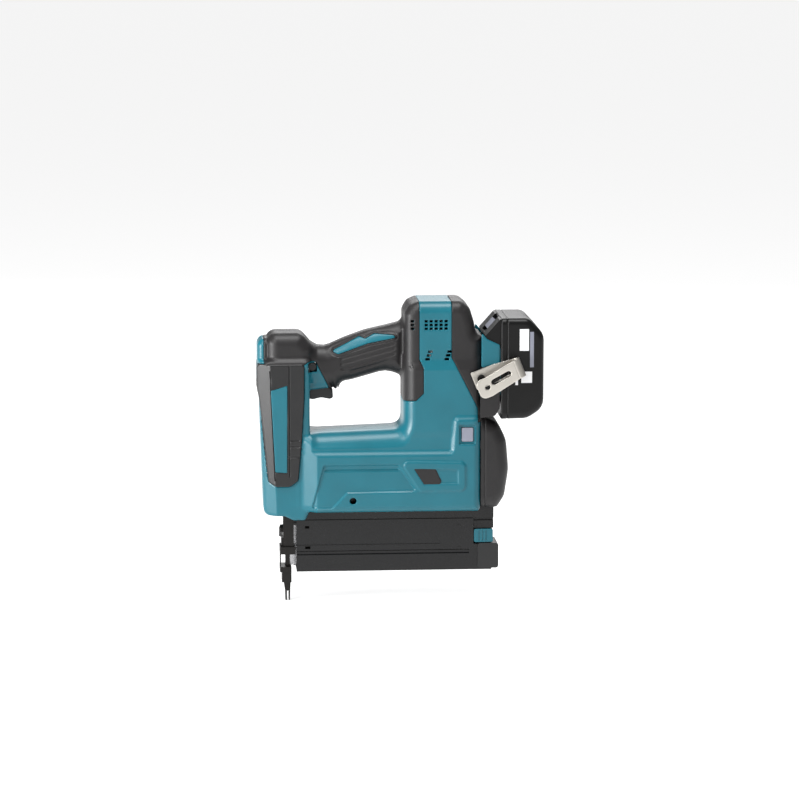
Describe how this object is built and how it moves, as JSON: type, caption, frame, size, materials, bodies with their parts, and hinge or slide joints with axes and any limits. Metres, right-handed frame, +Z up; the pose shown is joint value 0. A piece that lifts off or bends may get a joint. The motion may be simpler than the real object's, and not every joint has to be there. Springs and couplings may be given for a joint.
{
  "type": "brad nailer",
  "caption": "Cordless brad nailer with a loop handle, slim nose, long slide-back magazine, belt hook and a slide-on battery pack behind the motor.",
  "frame": {"origin": "where the driver's axis meets the tip of the contact foot", "axes": "+Z up the driver's axis from nose to head, +X from the nose to the battery, -Y the tool's left side"},
  "size_m": [0.2665, 0.0908, 0.2855],
  "materials": {
    "teal": "fine textured moulded plastic",
    "rubber": "soft overmould, matte",
    "dark_plastic": "moulded nylon",
    "button_grey": "satin",
    "silver": "die cast, satin",
    "steel": "zinc plated",
    "black_steel": "black phosphate",
    "hook_steel": "nickel plated sheet",
    "magazine_paint": "dark anodised extrusion",
    "copper": "enamelled copper",
    "gear_steel": "ground",
    "seal": "nitrile",
    "lens": "clear",
    "board": "solder mask",
    "cell": "shrink sleeve",
    "battery_dark": "fine texture"
  },
  "bodies": {
    "tool": {"housing_left": "teal", "housing_right": "teal", "grip_overmoulds": "rubber", "motor_bumpers": "rubber", "column_panels": "dark_plastic", "badge_inserts": "teal", "crank_cover": "rubber", "drive_cylinder": "silver", "cylinder_head": "silver", "piston_bumper": "seal", "cylinder_base": "silver", "driver_guide": "black_steel", "nose_plate": "black_steel", "nose_latch": "black_steel", "magazine_rail": "magazine_paint", "brad_strip": "steel", "motor_can": "steel", "brush_holder": "dark_plastic", "bearing_bracket": "silver", "ball_bearings": "gear_steel", "gear_case": "silver", "compression_cylinder": "silver", "compression_head": "silver", "trigger_switch": "dark_plastic", "work_lamp": "lens", "side_rest_pads": "rubber", "control_board": "board", "battery_seat": "teal", "seat_terminals": "copper", "belt_hook": "hook_steel", "screws": "steel"},
    "rotor": {"armature_core": "gear_steel", "armature_copper": "copper", "motor_shaft": "gear_steel", "cooling_fan": "dark_plastic", "motor_pinion": "gear_steel"},
    "crank": {"crank_gear": "gear_steel", "crankshaft": "gear_steel"},
    "compression_piston": {"compression_piston": "silver", "wrist_pin": "gear_steel"},
    "connecting_rod": {"connecting_rod": "gear_steel"},
    "driver": {"drive_piston": "silver", "driver_blade": "steel"},
    "contact_foot": {"contact_foot": "black_steel", "contact_arm": "black_steel", "contact_spring": "steel"},
    "depth_wheel": {"depth_wheel": "dark_plastic"},
    "trigger": {"trigger": "dark_plastic", "trigger_spring": "steel"},
    "lock_button": {"lock_button": "dark_plastic"},
    "magazine_door": {"magazine_door": "magazine_paint", "magazine_end_cap": "dark_plastic"},
    "magazine_latch": {"magazine_latch": "teal"},
    "brad_pusher": {"brad_pusher": "black_steel"},
    "battery": {"battery_case": "battery_dark", "battery_neck": "battery_dark", "battery_cells": "cell", "battery_contacts": "copper"},
    "battery_button": {"battery_button": "button_grey"},
    "status_button": {"status_button": "button_grey"}
  },
  "joints": [
    {"name": "trigger_pull", "type": "hinge", "parent": "tool", "child": "trigger", "pos_m": [0.0205, 0, 0.216], "axis": [0, -1, 0], "range_deg": [0, 8], "stiffness_Nm_per_rad": 1.2, "springref_deg": -8.59, "deforming": ["trigger_spring"]},
    {"name": "lock_button_slide", "type": "slide", "parent": "tool", "child": "lock_button", "axis": [0, 1, 0], "range_m": [-0.003, 0.003]},
    {"name": "contact_foot_slide", "type": "slide", "parent": "tool", "child": "contact_foot", "axis": [0, 0, 1], "range_m": [0, 0.008], "stiffness_N_per_m": 900, "springref_m": -0.01, "deforming": ["contact_spring"]},
    {"name": "depth_wheel_turn", "type": "hinge", "parent": "contact_foot", "child": "depth_wheel", "pos_m": [-0.001, 0.017, 0.062], "axis": [0, 0, 1], "range_deg": [0, 330]},
    {"name": "magazine_door_slide", "type": "slide", "parent": "tool", "child": "magazine_door", "axis": [1, 0, 0], "range_m": [0, 0.14]},
    {"name": "magazine_latch_squeeze", "type": "hinge", "parent": "magazine_door", "child": "magazine_latch", "pos_m": [0.189, 0, 0.062], "axis": [0, -1, 0], "range_deg": [0, 4.5], "stiffness_Nm_per_rad": 1, "springref_deg": -8.59},
    {"name": "brad_pusher_slide", "type": "slide", "parent": "magazine_door", "child": "brad_pusher", "axis": [1, 0, 0], "range_m": [0, 0.11], "stiffness_N_per_m": 30, "springref_m": -0.15},
    {"name": "driver_stroke", "type": "slide", "parent": "tool", "child": "driver", "axis": [0, 0, -1], "range_m": [0, 0.078]},
    {"name": "crank_turn", "type": "hinge", "parent": "tool", "child": "crank", "pos_m": [0.1664, 0, 0.161], "axis": [0, 0, 1], "continuous": true},
    {"name": "rotor_turn", "type": "hinge", "parent": "tool", "child": "rotor", "pos_m": [0.14, 0, 0.204], "axis": [0, 0, 1], "continuous": true},
    {"name": "compression_stroke", "type": "slide", "parent": "tool", "child": "compression_piston", "axis": [-1, 0, 0], "range_m": [0, 0.028]},
    {"name": "connecting_rod_swing", "type": "hinge", "parent": "compression_piston", "child": "connecting_rod", "pos_m": [0.084, 0, 0.129], "axis": [0, 0, 1], "range_deg": [-8, 8]},
    {"name": "battery_slide", "type": "slide", "parent": "tool", "child": "battery", "axis": [0, 0, 1], "range_m": [0, 0.08]},
    {"name": "battery_button_press", "type": "slide", "parent": "battery", "child": "battery_button", "axis": [0.7448, 0, -0.6673], "range_m": [0, 0.0015], "stiffness_N_per_m": 800, "springref_m": -0.002},
    {"name": "status_button_press", "type": "slide", "parent": "tool", "child": "status_button", "axis": [0, 1, 0], "range_m": [0, 0.0008], "stiffness_N_per_m": 1500, "springref_m": -0.001}
  ],
  "couplings": [
    {"joint": "rotor_turn", "follows": "crank_turn", "ratio": -5}
  ]
}
